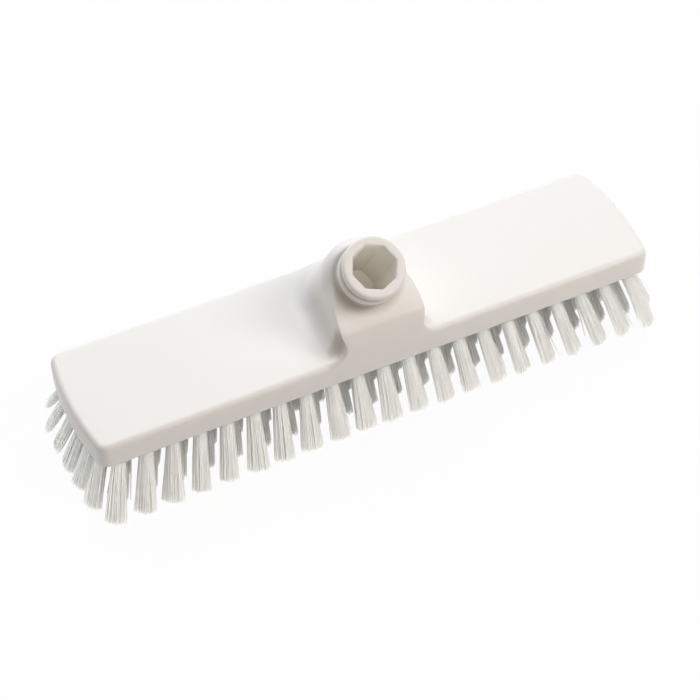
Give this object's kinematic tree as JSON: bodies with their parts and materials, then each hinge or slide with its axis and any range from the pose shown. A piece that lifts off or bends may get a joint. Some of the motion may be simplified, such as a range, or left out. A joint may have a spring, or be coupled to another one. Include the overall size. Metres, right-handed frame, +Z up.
{
  "type": "floor scrub brush",
  "caption": "Floor scrub brush head: a long moulded block with stiff bristles fanned to all sides, and a leaning neck with a faceted socket for a handle.",
  "frame": {"origin": "on the floor under the middle of the brush, at the level of the bristle tips", "axes": "+X along the block's length, -Y to the front, the side that the handle leans to, +Z up"},
  "size_m": [0.3214, 0.0958, 0.0959],
  "materials": {
    "block_plastic": "satin-gloss moulded white plastic",
    "filament": "clear-white extruded filament",
    "anchor_steel": "drawn flat wire"
  },
  "bodies": {
    "root": {"brush_block": "block_plastic", "front_bristles": "filament", "middle_bristles": "filament", "back_bristles": "filament", "anchor_row_1": "anchor_steel", "anchor_row_2": "anchor_steel", "anchor_row_3": "anchor_steel", "anchor_row_4": "anchor_steel", "anchor_row_5": "anchor_steel", "anchor_row_6": "anchor_steel", "anchor_row_7": "anchor_steel"}
  },
  "joints": []
}
